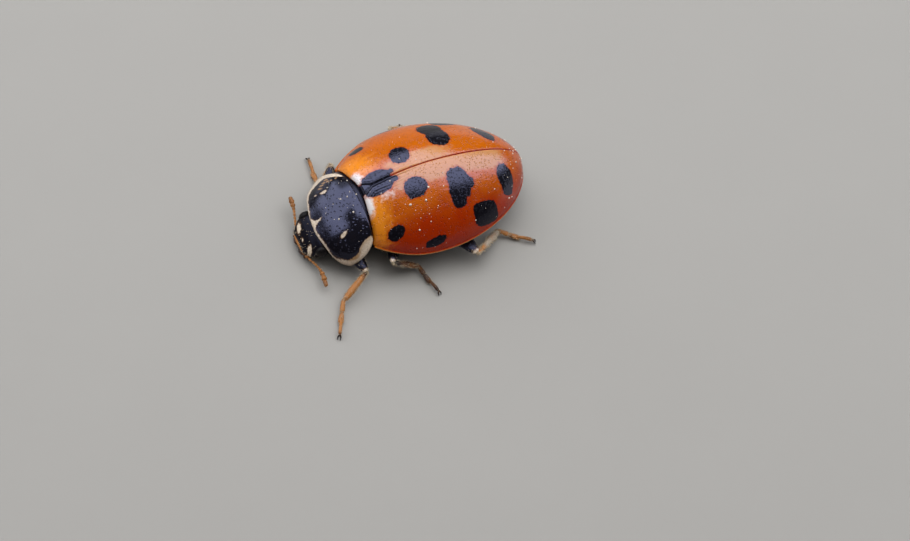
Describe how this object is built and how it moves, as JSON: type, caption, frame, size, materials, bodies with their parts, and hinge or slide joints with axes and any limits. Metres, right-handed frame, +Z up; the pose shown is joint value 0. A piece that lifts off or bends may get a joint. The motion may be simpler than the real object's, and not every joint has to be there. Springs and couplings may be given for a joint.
{
  "type": "ladybird",
  "caption": "Life-size still ladybird standing on its legs, with domed orange wing cases, black spots and a black and cream shield.",
  "frame": {"origin": "on the floor under the middle of the model's box", "axes": "+Z up, head towards -Y, the animal's left side towards +X"},
  "size_m": [0.0044, 0.0052, 0.0018],
  "materials": {
    "wing_case": "glossy, finely pitted orange horn with black spots",
    "black_shell": "glossy, finely pitted black horn with cream marks",
    "brown_limb": "satin brown horn with fine hairs",
    "eye": "glossy black facets"
  },
  "bodies": {
    "root": {"elytron_left": "wing_case", "elytron_right": "wing_case", "pronotum": "black_shell", "prothorax": "black_shell", "thorax": "black_shell", "abdomen": "black_shell", "scutellum": "black_shell", "head": "black_shell", "coxa_front_left": "black_shell", "femur_front_left": "black_shell", "coxa_front_right": "black_shell", "femur_front_right": "black_shell", "coxa_middle_left": "black_shell", "femur_middle_left": "black_shell", "coxa_middle_right": "black_shell", "femur_middle_right": "black_shell", "coxa_hind_left": "black_shell", "femur_hind_left": "black_shell", "coxa_hind_right": "black_shell", "femur_hind_right": "black_shell", "eye_left": "eye", "eye_right": "eye", "labrum": "brown_limb", "mandible_left": "brown_limb", "mandible_right": "brown_limb", "palp_left": "brown_limb", "palp_right": "brown_limb", "antenna_left": "brown_limb", "antenna_right": "brown_limb", "tibia_front_left": "brown_limb", "tarsus_front_left": "brown_limb", "tibia_front_right": "brown_limb", "tarsus_front_right": "brown_limb", "tibia_middle_left": "brown_limb", "tarsus_middle_left": "brown_limb", "tibia_middle_right": "brown_limb", "tarsus_middle_right": "brown_limb", "tibia_hind_left": "brown_limb", "tarsus_hind_left": "brown_limb", "tibia_hind_right": "brown_limb", "tarsus_hind_right": "brown_limb"}
  },
  "joints": []
}
